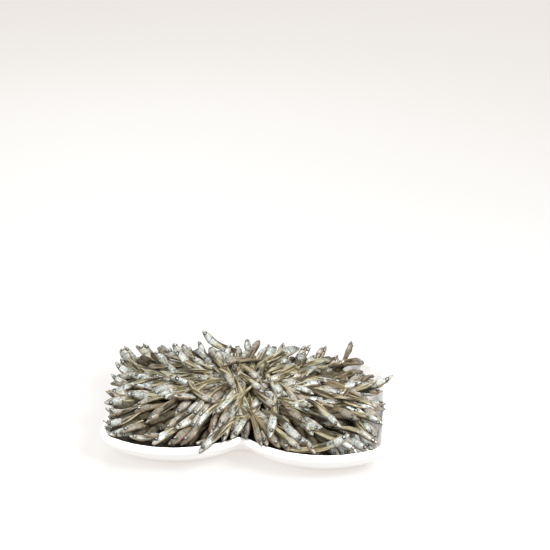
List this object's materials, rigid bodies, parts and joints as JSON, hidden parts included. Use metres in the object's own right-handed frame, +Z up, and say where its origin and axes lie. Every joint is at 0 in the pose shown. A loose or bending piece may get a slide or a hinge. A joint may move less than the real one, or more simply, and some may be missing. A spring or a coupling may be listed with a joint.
{
  "type": "dish of dried anchovies",
  "caption": "Dried anchovies heaped heads outwards in a shallow white glazed dish with two rounded lobes along each long side.",
  "frame": {"origin": "middle of the flat foot of the dish, on the surface that it stands on", "axes": "+X along the dish's long side, +Y to the back of the heap, +Z up"},
  "size_m": [0.2607, 0.1853, 0.052],
  "materials": {
    "white_glaze": "glossy white glaze",
    "dried_fish": "dry wrinkled fish skin, silver on heads and bellies and grey tan on backs"
  },
  "bodies": {
    "root": {"dish": "white_glaze", "anchovies": "dried_fish"}
  },
  "joints": []
}
